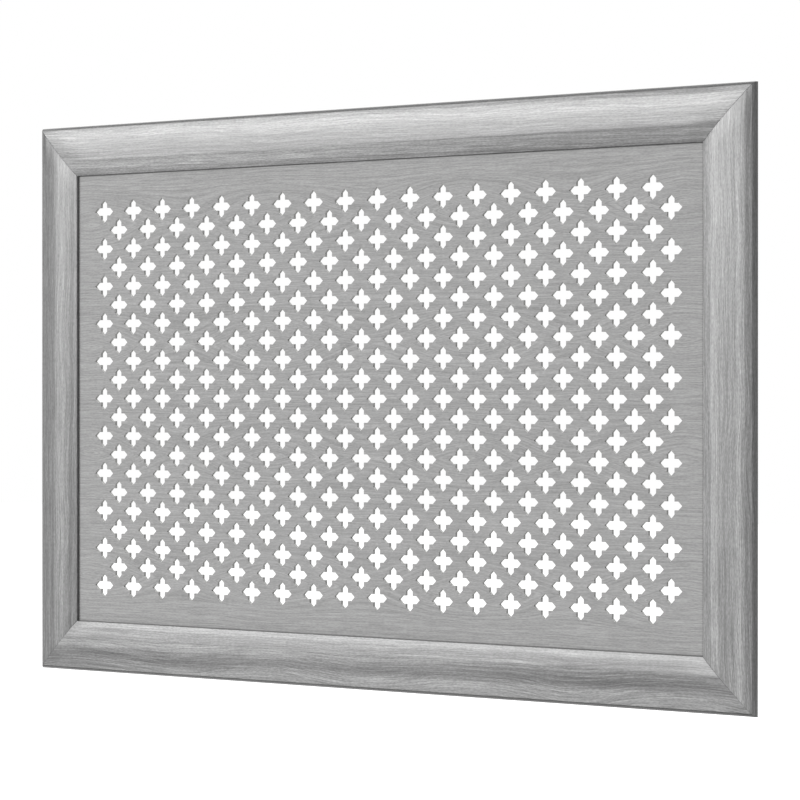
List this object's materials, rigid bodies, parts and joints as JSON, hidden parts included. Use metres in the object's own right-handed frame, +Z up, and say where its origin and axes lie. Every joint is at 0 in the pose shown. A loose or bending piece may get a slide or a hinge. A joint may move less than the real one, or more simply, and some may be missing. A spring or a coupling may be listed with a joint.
{
  "type": "radiator screen",
  "caption": "Flat radiator screen: a mitred wood-grain frame round a thin board with rows of pointed-cross holes, hung on keyhole plates at the back.",
  "frame": {"origin": "centre of the four keyhole entries, on the back plane that lies against the wall, which is also the centre of the frame's outline", "axes": "+X to the right along the screen's length as seen from the front, +Z up, -Y out of the front, +Y into the wall"},
  "size_m": [0.9, 0.01, 0.6],
  "materials": {
    "frame_foil": "satin wood-grain foil, silver grey, grain along each rail",
    "core_fibreboard": "raw medium-density fibreboard",
    "panel_board": "matt wood-grain grey, grain along the length",
    "nail_steel": "bright steel strip",
    "zinc_steel": "zinc plated"
  },
  "bodies": {
    "root": {"top_rail_core": "core_fibreboard", "top_rail_foil": "frame_foil", "bottom_rail_core": "core_fibreboard", "bottom_rail_foil": "frame_foil", "left_stile_core": "core_fibreboard", "left_stile_foil": "frame_foil", "right_stile_core": "core_fibreboard", "right_stile_foil": "frame_foil", "perforated_panel": "panel_board", "corner_v_nails": "nail_steel", "panel_points": "nail_steel", "upper_left_hanger": "zinc_steel", "upper_right_hanger": "zinc_steel", "lower_left_hanger": "zinc_steel", "lower_right_hanger": "zinc_steel", "hanger_screws": "zinc_steel"}
  },
  "joints": []
}
